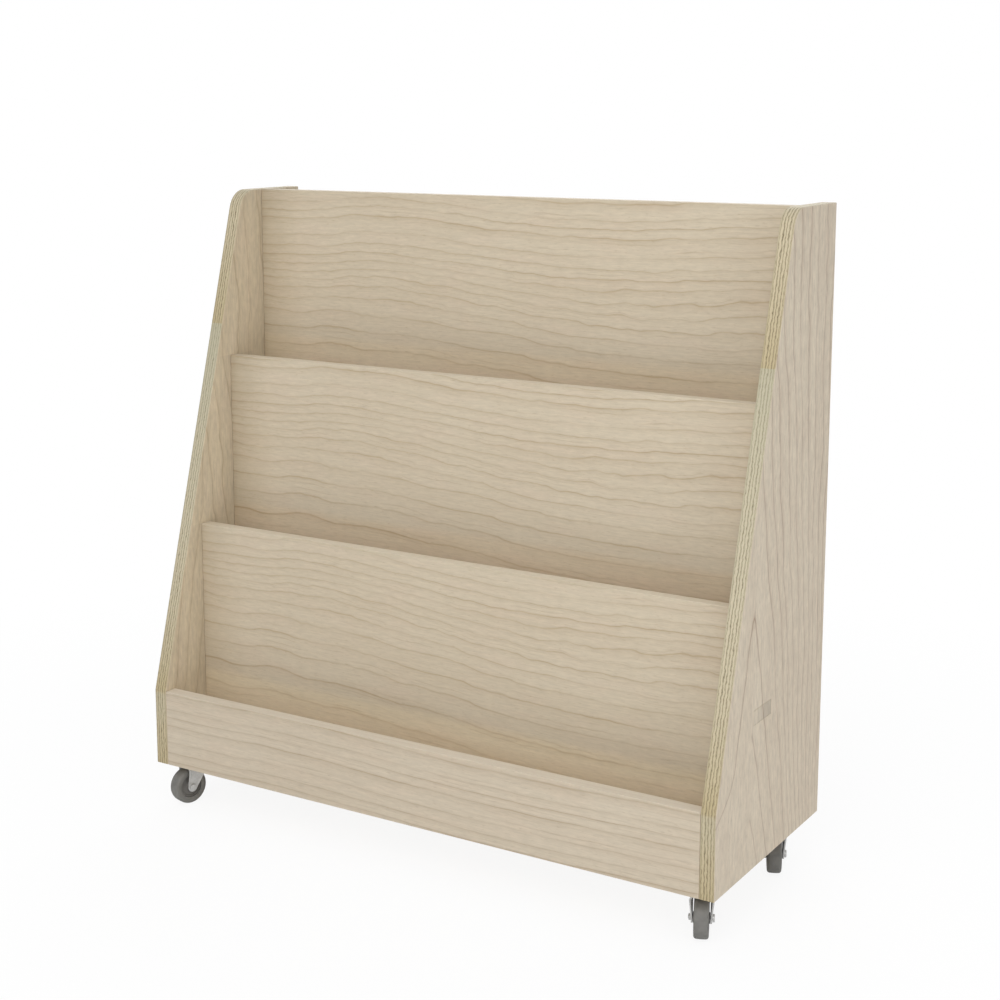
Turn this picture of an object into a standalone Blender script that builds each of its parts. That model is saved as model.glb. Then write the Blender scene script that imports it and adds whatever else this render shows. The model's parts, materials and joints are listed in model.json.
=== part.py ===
"""Double-sided bookcase on four swivel casters.

Two shaped plywood sides carry a stepped book display on the front and open
shelves on the back. Front is -Y, the floor is z = 0, lengths are in metres.
"""
import math

import bmesh
import bpy
from mathutils import Matrix, Vector

for old in list(bpy.data.objects):
    bpy.data.objects.remove(old, do_unlink=True)

# Carcass
WIDTH = 0.800
DEPTH = 0.304
PLY = 0.018
PANEL_PLY = 0.015
CLEARANCE = 0.0003
EDGE_EASE = 0.0008
ARRIS_ANGLE = math.radians(60)
SMOOTH_ANGLE = math.radians(35)
WELD = 1e-6
DISPLAY_GAMMA = 2.2

# Front edge of the sides, and the lip that ends level with its knee
LIP_HEIGHT = 0.100
FRONT_LEAN = math.radians(15.8)
KNEE_RADIUS = 0.022
KNEE_STEPS = 4
TOP_RADIUS = 0.030
TOP_STEPS = 10

# Stepped display: front faces of the panels, counted back from the lip's face
LOWER_PANEL_SETBACK = 0.080
MIDDLE_PANEL_SETBACK = 0.148
UPPER_PANEL_SETBACK = 0.2215
LOWER_PANEL_TOP = 0.310
PANEL_RISE = 0.217
POCKET_DEPTH = 0.120
PANEL_GROOVE = 0.004
TENON_SHOULDER = 0.0015
TENON_CHEEK = 0.0005

# Base board and the room that the casters need under the sides
BASE_RAISE = 0.008
WHEEL_ROOM = 0.0105

# Casters: wheel, fork and swivel head
WHEEL_RADIUS = 0.0235
WHEEL_STEPS = 24
ROUND_STEPS = 16
SMALL_STEPS = 8
CORNER_STEPS = 4
TYRE_WIDTH = 0.017
TYRE_SHOULDER = 0.003
TYRE_WALL = 0.0085
BEAD_STEP = 0.0008
RIM_RECESS = 0.0016
RIM_LIP = 0.0018
DISC_RECESS = 0.0012
DISC_FILLET = 0.0009
TRAIL = 0.028
FORK_STEEL = 0.0018
FORK_ROOM = 0.0014
CROWN_ROOM = 0.0032
BEND_RADIUS = 0.003
LEG_END_RADIUS = 0.0065
LEG_LEAN_IN = 0.0016
LEG_REACH = 0.024
FORK_TAIL = 0.008
RIB_HEIGHT = 0.0026
RIB_WIDTH = 0.002
RIB_TOE = 0.0004
SKIRT_DROP = 0.004
HEAD_RADIUS = 0.0145
HEAD_RISE = 0.0018
HEAD_CHAMFER = 0.0006
AXLE_RADIUS = 0.0022
AXLE_HEAD_RADIUS = 0.0046
AXLE_HEAD_HEIGHT = 0.0026
AXLE_CHAMFER = 0.0005
AXLE_TAIL = 0.0005
NUT_ACROSS_FLATS = 0.007
NUT_HEIGHT = 0.0024
HUB_RADIUS = 0.0065
KING_PIN_RADIUS = 0.004
KING_PIN_HEAD_RADIUS = 0.007
KING_PIN_HEAD_HEIGHT = 0.0022
KING_PIN_CHAMFER = 0.0005
BALL_RING_HEIGHT = 0.003
BALL_RING_BORE = 0.007
BALL_RING_EASE = 0.0008

# Caster plate and its screws
PLATE_WIDTH = 0.036
PLATE_LENGTH = 0.056
PLATE_STEEL = 0.0025
PLATE_CORNER = 0.005
PLATE_SIDE_ROOM = 0.0015
PLATE_FRONT_ROOM = 0.007
PLATE_BACK_ROOM = 0.0185
CUP_WALL = 0.0018
SCREW_INSET = 0.0055
SCREW_RADIUS = 0.0019
SCREW_HEAD_RADIUS = 0.0036
SCREW_HEAD_HEIGHT = 0.002
SCREW_HEAD_CHAMFER = 0.001
SCREW_POINT = 0.004
SCREW_BITE = 0.010

# Swivel angles at rest, as the casters stand in the photograph
SWIVEL = {
    "front_left": math.radians(-17.0),
    "front_right": math.radians(23.0),
    "rear_left": math.radians(8.0),
    "rear_right": math.radians(25.0),
}

# Heights and depths that follow from the sizes above
SIDE_BOTTOM = 2 * WHEEL_RADIUS + WHEEL_ROOM
SIDE_HEIGHT = LOWER_PANEL_TOP + 2 * PANEL_RISE
FRONT = -DEPTH / 2
BACK = DEPTH / 2
INNER_X = WIDTH / 2 - PLY
BASE_BOTTOM = SIDE_BOTTOM + BASE_RAISE
BASE_TOP = BASE_BOTTOM + PLY
PANEL_TOPS = [SIDE_BOTTOM + LOWER_PANEL_TOP + step * PANEL_RISE for step in range(3)]
PANEL_FRONTS = [
    FRONT + setback
    for setback in (LOWER_PANEL_SETBACK, MIDDLE_PANEL_SETBACK, UPPER_PANEL_SETBACK)
]
SHELF_TOPS = [top - POCKET_DEPTH for top in PANEL_TOPS[:2]]
BOARD_X = (-INNER_X + CLEARANCE, INNER_X - CLEARANCE)
PANEL_BACKS = [front + PANEL_PLY for front in PANEL_FRONTS]
TENON_FRONT = PANEL_BACKS[0] + CLEARANCE + TENON_SHOULDER
TENON_BACK = PANEL_FRONTS[1] - CLEARANCE - TENON_SHOULDER
TENON_TOP = SHELF_TOPS[0] - TENON_CHEEK
TENON_BOTTOM = SHELF_TOPS[0] - PLY + TENON_CHEEK
FORK_INNER = TYRE_WIDTH / 2 + FORK_ROOM
FORK_OUTER = FORK_INNER + FORK_STEEL
CROWN_UNDERSIDE = 2 * WHEEL_RADIUS + CROWN_ROOM
CROWN_TOP = CROWN_UNDERSIDE + FORK_STEEL
HEAD_TOP = CROWN_TOP + HEAD_RISE
PLATE_TOP = BASE_BOTTOM - CLEARANCE
PLATE_BOTTOM = PLATE_TOP - PLATE_STEEL
CUP_RIM = HEAD_TOP + CLEARANCE
CUP_ROOF = CUP_RIM + BALL_RING_HEIGHT + CLEARANCE
CUP_BORE = HEAD_RADIUS - CUP_WALL
PIN_SEAT = PLATE_TOP - KING_PIN_HEAD_HEIGHT - 2 * CLEARANCE
CASTER_X = INNER_X - PLATE_SIDE_ROOM - PLATE_WIDTH / 2
CASTER_FRONT_Y = FRONT + PLY + PLATE_FRONT_ROOM + PLATE_LENGTH / 2
CASTER_BACK_Y = BACK - PLATE_BACK_ROOM - PLATE_LENGTH / 2
SCREW_SPOTS = [
    (x * (PLATE_WIDTH / 2 - SCREW_INSET), y * (PLATE_LENGTH / 2 - SCREW_INSET))
    for y in (-1, 1)
    for x in (-1, 1)
]


def finish(name, colour, roughness, metallic=0.0):
    """A Principled material; colour is the sRGB byte value seen in the photograph."""
    material = bpy.data.materials.new(name)
    material.use_nodes = True
    shader = material.node_tree.nodes["Principled BSDF"]
    linear = [(byte / 255) ** DISPLAY_GAMMA for byte in colour]
    shader.inputs["Base Color"].default_value = (*linear, 1.0)
    shader.inputs["Roughness"].default_value = roughness
    shader.inputs["Metallic"].default_value = metallic
    return material


PLYWOOD = finish("maple_plywood", (197, 183, 162), 0.55)
ZINC = finish("zinc_plated_steel", (178, 178, 174), 0.38, 0.8)
BRIGHT_STEEL = finish("bright_steel", (168, 168, 166), 0.3, 0.9)
RUBBER = finish("grey_rubber", (118, 116, 113), 0.7)
WHEEL_PLASTIC = finish("grey_plastic", (98, 97, 94), 0.5)


def to_mesh(name, bm, smooth=False):
    """Close a bmesh into a mesh whose faces point out."""
    bmesh.ops.recalc_face_normals(bm, faces=bm.faces)
    mesh = bpy.data.meshes.new(name)
    bm.to_mesh(mesh)
    bm.free()
    if smooth:
        soften(mesh)
    return mesh


def soften(mesh):
    mesh.shade_smooth()
    mesh.set_sharp_from_angle(angle=SMOOTH_ANGLE)


def add(name, mesh, material, location=(0.0, 0.0, 0.0), turn=0.0):
    """Place a named piece, turned about the vertical."""
    piece = bpy.data.objects.new(name, mesh)
    piece.location = location
    piece.rotation_euler = (0.0, 0.0, turn)
    if not mesh.materials:
        mesh.materials.append(material)
    bpy.context.scene.collection.objects.link(piece)
    return piece


def combined(mesh, others, operation):
    """The mesh that a Boolean leaves after each other mesh is joined, cut or crossed."""
    body = bpy.data.objects.new("body", mesh)
    tools = [bpy.data.objects.new("tool", other) for other in others]
    for helper in (body, *tools):
        bpy.context.scene.collection.objects.link(helper)
    for tool in tools:
        step = body.modifiers.new(operation, "BOOLEAN")
        step.operation = operation
        step.solver = "EXACT"
        step.object = tool
    graph = bpy.context.evaluated_depsgraph_get()
    result = bpy.data.meshes.new_from_object(body.evaluated_get(graph))
    for helper in (body, *tools):
        bpy.data.objects.remove(helper, do_unlink=True)
    return result


def prism(name, outline, place, start, end):
    """Extrude an outline; place maps its two coordinates and the height to x, y, z."""
    bm = bmesh.new()
    face = bm.faces.new([bm.verts.new(place(a, b, start)) for a, b in outline])
    grown = bmesh.ops.extrude_face_region(bm, geom=[face])
    moved = [item for item in grown["geom"] if isinstance(item, bmesh.types.BMVert)]
    shift = Vector(place(0, 0, end)) - Vector(place(0, 0, start))
    bmesh.ops.translate(bm, verts=moved, vec=shift)
    return to_mesh(name, bm)


def along_x(a, b, height):
    return (height, a, b)


def along_y(a, b, height):
    return (a, height, b)


def along_z(a, b, height):
    return (a, b, height)


def turned(name, profile, axis, steps, half_step=False):
    """Spin a closed profile of (radius, place along axis) about the X or Z axis."""
    bm = bmesh.new()
    start = math.pi / steps if half_step else 0.0
    corners = []
    for radius, height in profile:
        across = radius * math.cos(start)
        up = radius * math.sin(start)
        spot = (height, across, up) if axis == "X" else (across, up, height)
        corners.append(bm.verts.new(spot))
    loop = [bm.edges.new(pair) for pair in zip(corners, corners[1:] + corners[:1])]
    bmesh.ops.spin(
        bm,
        geom=corners + loop,
        cent=(0, 0, 0),
        axis=(1, 0, 0) if axis == "X" else (0, 0, 1),
        angle=2 * math.pi,
        steps=steps,
        use_merge=True,
    )
    bmesh.ops.remove_doubles(bm, verts=bm.verts, dist=WELD)
    flat = [face for face in bm.faces if face.calc_area() < WELD * WELD]
    bmesh.ops.delete(bm, geom=flat, context="FACES_ONLY")
    stray = [edge for edge in bm.edges if not edge.link_faces]
    bmesh.ops.delete(bm, geom=stray, context="EDGES")
    return to_mesh(name, bm, smooth=True)


def arc(centre, radius, start, end, steps):
    """Points from one angle to another, in degrees, both ends included."""
    angles = [math.radians(start + (end - start) * step / steps) for step in range(steps + 1)]
    return [(centre[0] + radius * math.cos(a), centre[1] + radius * math.sin(a)) for a in angles]


def fillet(before, corner, after, radius, steps):
    """Points of the arc that rounds a corner between two straight edges."""
    corner = Vector(corner)
    inward = (Vector(before) - corner).normalized()
    onward = (Vector(after) - corner).normalized()
    half = inward.angle(onward) / 2
    middle = corner + (inward + onward).normalized() * (radius / math.sin(half))
    first = corner + inward * (radius / math.tan(half)) - middle
    last = corner + onward * (radius / math.tan(half)) - middle
    sweep = first.angle_signed(last)
    points = []
    for step in range(steps + 1):
        turn = -sweep * step / steps
        points.append((
            middle.x + first.x * math.cos(turn) - first.y * math.sin(turn),
            middle.y + first.x * math.sin(turn) + first.y * math.cos(turn),
        ))
    return points


def ease_edges(piece):
    """Break the sharp arrises, as sanding does, but leave the round corners alone."""
    ease = piece.modifiers.new("eased_edges", "BEVEL")
    ease.width = EDGE_EASE
    ease.segments = 2
    ease.limit_method = "ANGLE"
    ease.angle_limit = ARRIS_ANGLE


def board(name, x_span, y_span, z_span):
    """A straight plywood board between two corners."""
    size = [high - low for low, high in (x_span, y_span, z_span)]
    bm = bmesh.new()
    bmesh.ops.create_cube(bm, size=1.0)
    bmesh.ops.scale(bm, vec=size, verts=bm.verts)
    centre = [(low + high) / 2 for low, high in (x_span, y_span, z_span)]
    piece = add(name, to_mesh(name, bm), PLYWOOD, centre)
    ease_edges(piece)
    return piece


def work_with(piece, name, mesh, operation="DIFFERENCE"):
    """Cut a hidden tool out of a piece, or join it on, and leave the Boolean live."""
    tool = add(name, mesh, PLYWOOD)
    tool.hide_render = True
    tool.display_type = "WIRE"
    step = piece.modifiers.new(name, "BOOLEAN")
    step.operation = operation
    step.solver = "EXACT"
    step.object = tool


def rectangle(low, high):
    """Outline of a rectangle between two corners."""
    return [low, (high[0], low[1]), high, (low[0], high[1])]


def side_outline():
    """The side as (y, z): upright toe, knee, leaning front edge, round top corner."""
    top = SIDE_BOTTOM + SIDE_HEIGHT
    toe = (FRONT, SIDE_BOTTOM)
    knee = (FRONT, SIDE_BOTTOM + LIP_HEIGHT)
    peak = (FRONT + math.tan(FRONT_LEAN) * (SIDE_HEIGHT - LIP_HEIGHT), top)
    crest = (BACK, top)
    heel = (BACK, SIDE_BOTTOM)
    knee_arc = fillet(toe, knee, peak, KNEE_RADIUS, KNEE_STEPS)
    top_arc = fillet(knee, peak, crest, TOP_RADIUS, TOP_STEPS)
    return [toe, *knee_arc, *top_arc, crest, heel]


def make_sides():
    """Both sides, with the slot that the lower shelf's tenon shows through."""
    slot = rectangle(
        (TENON_FRONT - CLEARANCE, TENON_BOTTOM - CLEARANCE),
        (TENON_BACK + CLEARANCE, TENON_TOP + CLEARANCE),
    )
    for name, start in (("left_side_panel", -WIDTH / 2), ("right_side_panel", INNER_X)):
        mesh = prism(name, side_outline(), along_x, start, start + PLY)
        soften(mesh)
        side = add(name, mesh, PLYWOOD)
        ease_edges(side)
        cutter = prism(name + "_slot", slot, along_x, start - PLY, start + 2 * PLY)
        work_with(side, name + "_slot", cutter)


def cut_groove(piece, panel, floor):
    """Groove across a board's upper face, where a display panel stands in it."""
    outline = rectangle(
        (PANEL_FRONTS[panel] - CLEARANCE, floor - PANEL_GROOVE),
        (PANEL_BACKS[panel] + CLEARANCE, floor + PANEL_GROOVE),
    )
    name = piece.name + "_groove"
    work_with(piece, name, prism(name, outline, along_x, -WIDTH / 2, WIDTH / 2))


def make_boards():
    """Lip, base and the three display panels, each in a groove of the board below it."""
    board(
        "front_lip", BOARD_X, (FRONT, FRONT + PLY), (SIDE_BOTTOM, SIDE_BOTTOM + LIP_HEIGHT)
    )
    base = board("base_panel", BOARD_X, (FRONT + PLY + CLEARANCE, BACK), (BASE_BOTTOM, BASE_TOP))
    cut_groove(base, 0, BASE_TOP)
    work_with(base, "screw_holes", screw_holes())
    floors = [BASE_TOP, *SHELF_TOPS]
    names = ("lower_display_panel", "middle_display_panel", "upper_display_panel")
    for name, front, floor, top in zip(names, PANEL_FRONTS, floors, PANEL_TOPS):
        foot = floor - PANEL_GROOVE + CLEARANCE
        board(name, BOARD_X, (front, front + PANEL_PLY), (foot, top))


def make_shelves():
    """Boards that floor a front pocket and carry on to the back as a shelf."""
    shelves = []
    for step, name in enumerate(("lower_shelf", "upper_shelf")):
        top = SHELF_TOPS[step]
        shelf = board(name, BOARD_X, (PANEL_BACKS[step] + CLEARANCE, BACK), (top - PLY, top))
        cut_groove(shelf, step + 1, top)
        shelves.append(shelf)
    tenon = rectangle((TENON_FRONT, TENON_BOTTOM), (TENON_BACK, TENON_TOP))
    for name, start in (("left_tenon", -WIDTH / 2), ("right_tenon", INNER_X - PLY)):
        tongue = prism(name, tenon, along_x, start, start + 2 * PLY)
        work_with(shelves[0], name, tongue, "UNION")


def caster_spots():
    """Corner name with the swivel axis of its caster."""
    for end, y in (("front", CASTER_FRONT_Y), ("rear", CASTER_BACK_Y)):
        for hand, x in (("left", -CASTER_X), ("right", CASTER_X)):
            yield f"{end}_{hand}", x, y


def screw_holes():
    """One cutter with a blind hole for each plate screw."""
    bm = bmesh.new()
    depth = SCREW_BITE + 2 * CLEARANCE
    for _, x, y in caster_spots():
        for dx, dy in SCREW_SPOTS:
            made = bmesh.ops.create_cone(
                bm,
                cap_ends=True,
                segments=SMALL_STEPS,
                radius1=SCREW_RADIUS + CLEARANCE,
                radius2=SCREW_RADIUS + CLEARANCE,
                depth=2 * depth,
            )
            bmesh.ops.translate(bm, verts=made["verts"], vec=(x + dx, y + dy, BASE_BOTTOM))
    return to_mesh("screw_holes", bm)


def tyre_mesh():
    """Rubber tyre: flat tread with round shoulders, on the core's rim."""
    half = TYRE_WIDTH / 2
    inner = WHEEL_RADIUS - TYRE_WALL
    shoulder = (WHEEL_RADIUS - TYRE_SHOULDER, half - TYRE_SHOULDER)
    right = arc(shoulder, TYRE_SHOULDER, 0, 90, CORNER_STEPS)
    left = [(radius, -place) for radius, place in reversed(right)]
    bead = half - BEAD_STEP
    outline = [*left, *right, (inner, bead), (inner, -bead)]
    # The facets, not their corners, lie on the wheel's radius, so one rests flat.
    stretch = 1 / math.cos(math.pi / WHEEL_STEPS)
    outline = [(radius * stretch, place) for radius, place in outline]
    return turned("tyre", outline, "X", WHEEL_STEPS, half_step=True)


def wheel_core_mesh():
    """Moulded core: rim, shallow disc and a hub that spaces the fork's legs."""
    bore = AXLE_RADIUS + CLEARANCE
    rim = WHEEL_RADIUS - TYRE_WALL - CLEARANCE
    rim_lip = rim - RIM_LIP
    rim_half = TYRE_WIDTH / 2 - RIM_RECESS
    web_half = rim_half - DISC_RECESS
    hub_half = FORK_INNER - CLEARANCE
    right = [
        (rim, rim_half), (rim_lip, rim_half), (rim_lip - DISC_FILLET, web_half),
        (HUB_RADIUS + DISC_FILLET, web_half), (HUB_RADIUS, hub_half), (bore, hub_half),
    ]
    left = [(radius, -place) for radius, place in reversed(right)]
    return turned("wheel_core", [*right, *left], "X", ROUND_STEPS)


def axle_bolt_mesh():
    """Plain axle with a round flat head on one side."""
    seat = FORK_OUTER + CLEARANCE
    head = seat + AXLE_HEAD_HEIGHT
    tail = -(seat + NUT_HEIGHT + AXLE_TAIL)
    chamfer = AXLE_CHAMFER
    profile = [
        (0, tail), (AXLE_RADIUS - chamfer, tail), (AXLE_RADIUS, tail + chamfer),
        (AXLE_RADIUS, seat), (AXLE_HEAD_RADIUS, seat), (AXLE_HEAD_RADIUS, head - chamfer),
        (AXLE_HEAD_RADIUS - chamfer, head), (0, head),
    ]
    return turned("axle_bolt", profile, "X", ROUND_STEPS)


def axle_nut_mesh():
    """Hexagon nut on the axle's other end."""
    seat = FORK_OUTER + CLEARANCE
    corner = NUT_ACROSS_FLATS / 2 / math.cos(math.pi / 6)
    hexagon = arc((0, 0), corner, 0, 300, 5)
    nut = prism("axle_nut", hexagon, along_x, -seat - NUT_HEIGHT, -seat)
    bore = bore_profile(AXLE_RADIUS + CLEARANCE, -TRAIL, 0)
    bore = turned("nut_bore", bore, "X", ROUND_STEPS)
    return combined(nut, [bore], "DIFFERENCE")


def bore_profile(radius, low, high):
    """Closed profile of a plain round cutter."""
    return [(0, low), (radius, low), (radius, high), (0, high)]


def fork_channel():
    """Cross-section of the pressed fork: an upside-down channel with round bends."""
    outer = FORK_OUTER
    inner = FORK_INNER
    foot = WHEEL_RADIUS - 2 * LEG_END_RADIUS
    bend = BEND_RADIUS
    tight = bend - FORK_STEEL
    outside = arc((outer - bend, CROWN_TOP - bend), bend, 0, 90, CORNER_STEPS)
    inside = arc((inner - tight, CROWN_UNDERSIDE - tight), tight, 90, 0, CORNER_STEPS)
    right = [(outer, foot), *outside]
    left = [(-x, z) for x, z in reversed(right)]
    under_left = [(-x, z) for x, z in reversed(inside)]
    return [*right, *left, (-inner, foot), *under_left, *inside, (inner, foot)]


def leg_edges():
    """Front and back edge of a leg as (y, z) lines from the axle end to the crown."""
    axle = Vector((-TRAIL, WHEEL_RADIUS))
    front_top = Vector((-TRAIL - LEG_END_RADIUS + LEG_LEAN_IN, CROWN_UNDERSIDE))
    back_top = Vector((-TRAIL + LEG_REACH, CROWN_UNDERSIDE))
    front_low = axle + Vector((-LEG_END_RADIUS, 0))
    down = (axle - back_top).normalized()
    back_low = axle + Vector((-down.y, down.x)) * LEG_END_RADIUS
    return (front_low, front_top), (back_low, back_top)


def leg_outline():
    """Side view of the fork: legs that narrow to the axle, under a level crown."""
    (front_low, front_top), (back_low, back_top) = leg_edges()
    axle = Vector((-TRAIL, WHEEL_RADIUS))
    reach = back_low - axle
    start = math.degrees(math.atan2(reach.y, reach.x))
    end = arc(axle, LEG_END_RADIUS, start, -180, 2 * CORNER_STEPS)
    above = CROWN_TOP + FORK_STEEL
    skirt = CROWN_UNDERSIDE - SKIRT_DROP
    slope = (back_top.x - back_low.x) / (back_top.y - back_low.y)
    knuckle = (back_top.x - slope * SKIRT_DROP, skirt)
    return [
        (front_top.x, above), *reversed(end), knuckle,
        (FORK_TAIL, skirt + SKIRT_DROP / 2), (FORK_TAIL, above),
    ]


def rib(edge, side, inward):
    """Stiffening lip pressed out along a leg's edge, highest at the crown."""
    low, high = edge
    run = (high - low).normalized()
    across = Vector((-run.y, run.x)) * inward
    low = low + run * LEG_END_RADIUS + across * CLEARANCE
    high = high - run * (RIB_WIDTH / 2) + across * CLEARANCE
    across = across * RIB_WIDTH
    root = FORK_OUTER - FORK_STEEL / 2
    bm = bmesh.new()
    rings = []
    for point, height in ((low, RIB_TOE), (high, RIB_HEIGHT)):
        tip = FORK_OUTER + height
        corners = [(root, point), (tip, point), (tip, point + across), (root, point + across)]
        rings.append([bm.verts.new((side * x, p.x, p.y)) for x, p in corners])
    bm.faces.new(rings[0])
    bm.faces.new(rings[1])
    for here in range(4):
        there = (here + 1) % 4
        bm.faces.new((rings[0][here], rings[0][there], rings[1][there], rings[1][here]))
    return to_mesh("rib", bm)


def fork_mesh():
    """Pressed fork: channel trimmed to its side view, ribs, swivel head and bores."""
    channel = prism("channel", fork_channel(), along_y, -TRAIL - HEAD_RADIUS, TRAIL)
    trimmer = prism("trimmer", leg_outline(), along_x, -2 * FORK_OUTER, 2 * FORK_OUTER)
    fork = combined(channel, [trimmer], "INTERSECT")
    front, back = leg_edges()
    ribs = [rib(front, side, -1) for side in (-1, 1)]
    ribs += [rib(back, side, 1) for side in (-1, 1)]
    seat = CROWN_UNDERSIDE + FORK_STEEL / 2
    head_profile = [
        (0, seat), (HEAD_RADIUS, seat), (HEAD_RADIUS, HEAD_TOP - HEAD_CHAMFER),
        (HEAD_RADIUS - HEAD_CHAMFER, HEAD_TOP), (0, HEAD_TOP),
    ]
    head = turned("swivel_head", head_profile, "Z", WHEEL_STEPS)
    fork = combined(fork, [*ribs, head], "UNION")
    pin_hole = KING_PIN_RADIUS + CLEARANCE
    pin_bore = bore_profile(pin_hole, WHEEL_RADIUS, BASE_BOTTOM)
    pin_bore = turned("pin_bore", pin_bore, "Z", ROUND_STEPS)
    axle_hole = AXLE_RADIUS + CLEARANCE
    axle_bore = turned("axle_bore", bore_profile(axle_hole, -TRAIL, TRAIL), "X", ROUND_STEPS)
    axle_bore.transform(Matrix.Translation((0, -TRAIL, WHEEL_RADIUS)))
    fork = combined(fork, [pin_bore, axle_bore], "DIFFERENCE")
    soften(fork)
    return fork


def plate_mesh():
    """Top plate with the cup pressed down from it that holds the ball ring."""
    x = PLATE_WIDTH / 2 - PLATE_CORNER
    y = PLATE_LENGTH / 2 - PLATE_CORNER
    outline = []
    for centre, start in (((x, y), 0), ((-x, y), 90), ((-x, -y), 180), ((x, -y), 270)):
        outline += arc(centre, PLATE_CORNER, start, start + 90, CORNER_STEPS)
    plate = prism("plate", outline, along_z, PLATE_BOTTOM, PLATE_TOP)
    inside = PLATE_TOP - PLATE_STEEL / 2
    cup_profile = [
        (0, CUP_RIM), (HEAD_RADIUS, CUP_RIM), (HEAD_RADIUS + CUP_WALL, PLATE_BOTTOM),
        (HEAD_RADIUS + CUP_WALL, inside), (0, inside),
    ]
    plate = combined(plate, [turned("cup", cup_profile, "Z", WHEEL_STEPS)], "UNION")
    pin_hole = KING_PIN_RADIUS + CLEARANCE
    pin_head = KING_PIN_HEAD_RADIUS + CLEARANCE
    hollow_profile = [
        (0, CROWN_UNDERSIDE), (CUP_BORE, CROWN_UNDERSIDE), (CUP_BORE, CUP_ROOF),
        (pin_hole, CUP_ROOF), (pin_hole, PIN_SEAT), (pin_head, PIN_SEAT),
        (pin_head, BASE_TOP), (0, BASE_TOP),
    ]
    cuts = [turned("hollow", hollow_profile, "Z", ROUND_STEPS)]
    for place in SCREW_SPOTS:
        hole_profile = bore_profile(SCREW_RADIUS + CLEARANCE, CUP_RIM, BASE_TOP)
        hole = turned("screw_hole", hole_profile, "Z", SMALL_STEPS)
        hole.transform(Matrix.Translation((*place, 0)))
        cuts.append(hole)
    plate = combined(plate, cuts, "DIFFERENCE")
    soften(plate)
    return plate


def king_pin_mesh():
    """Rivet that holds the fork under the plate and lets it swivel."""
    under = CROWN_UNDERSIDE - CLEARANCE
    over = PIN_SEAT + CLEARANCE
    chamfer = KING_PIN_CHAMFER
    head = KING_PIN_HEAD_RADIUS
    shaft = KING_PIN_RADIUS
    low = under - KING_PIN_HEAD_HEIGHT
    high = over + KING_PIN_HEAD_HEIGHT
    profile = [
        (0, low), (head - chamfer, low), (head, low + chamfer), (head, under), (shaft, under),
        (shaft, over), (head, over), (head, high), (0, high),
    ]
    return turned("king_pin", profile, "Z", ROUND_STEPS)


def ball_ring_mesh():
    """Ring of bearing balls in its cage, between the swivel head and the cup."""
    outer = CUP_BORE - CLEARANCE
    inner = BALL_RING_BORE
    low = CUP_RIM
    high = low + BALL_RING_HEIGHT
    soft = BALL_RING_EASE
    profile = [
        (inner, low + soft), (inner + soft, low), (outer - soft, low), (outer, low + soft),
        (outer, high), (inner, high),
    ]
    return turned("ball_ring", profile, "Z", ROUND_STEPS)


def plate_screw_mesh():
    """Pan-head wood screw, driven up through the plate into the base."""
    seat = PLATE_BOTTOM - CLEARANCE
    low = seat - SCREW_HEAD_HEIGHT
    tip = BASE_BOTTOM + SCREW_BITE
    chamfer = SCREW_HEAD_CHAMFER
    profile = [
        (0, low), (SCREW_HEAD_RADIUS - chamfer, low), (SCREW_HEAD_RADIUS, low + chamfer),
        (SCREW_HEAD_RADIUS, seat), (SCREW_RADIUS, seat), (SCREW_RADIUS, tip - SCREW_POINT),
        (0, tip),
    ]
    return turned("plate_screw", profile, "Z", SMALL_STEPS)


def make_casters():
    """Four swivel casters; fork pieces turn about the king pin, wheels about the axle."""
    plate = plate_mesh()
    king_pin = king_pin_mesh()
    ball_ring = ball_ring_mesh()
    screw = plate_screw_mesh()
    fork = fork_mesh()
    core = wheel_core_mesh()
    tyre = tyre_mesh()
    bolt = axle_bolt_mesh()
    nut = axle_nut_mesh()
    for corner, x, y in caster_spots():
        turn = SWIVEL[corner]
        swivel = (x, y, 0)
        axle = (x + TRAIL * math.sin(turn), y - TRAIL * math.cos(turn), WHEEL_RADIUS)
        add(f"{corner}_caster_plate", plate, ZINC, swivel)
        add(f"{corner}_king_pin", king_pin, BRIGHT_STEEL, swivel)
        add(f"{corner}_ball_ring", ball_ring, BRIGHT_STEEL, swivel)
        add(f"{corner}_fork", fork, ZINC, swivel, turn)
        add(f"{corner}_axle_bolt", bolt, BRIGHT_STEEL, axle, turn)
        add(f"{corner}_axle_nut", nut, BRIGHT_STEEL, axle, turn)
        add(f"{corner}_wheel_core", core, WHEEL_PLASTIC, axle, turn)
        add(f"{corner}_tyre", tyre, RUBBER, axle, turn)
        for number, (dx, dy) in enumerate(SCREW_SPOTS, start=1):
            add(f"{corner}_plate_screw_{number}", screw, BRIGHT_STEEL, (x + dx, y + dy, 0))


make_sides()
make_boards()
make_shelves()
make_casters()
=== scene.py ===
import json
import math

import bmesh
import bpy
from mathutils import Matrix, Vector


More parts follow.
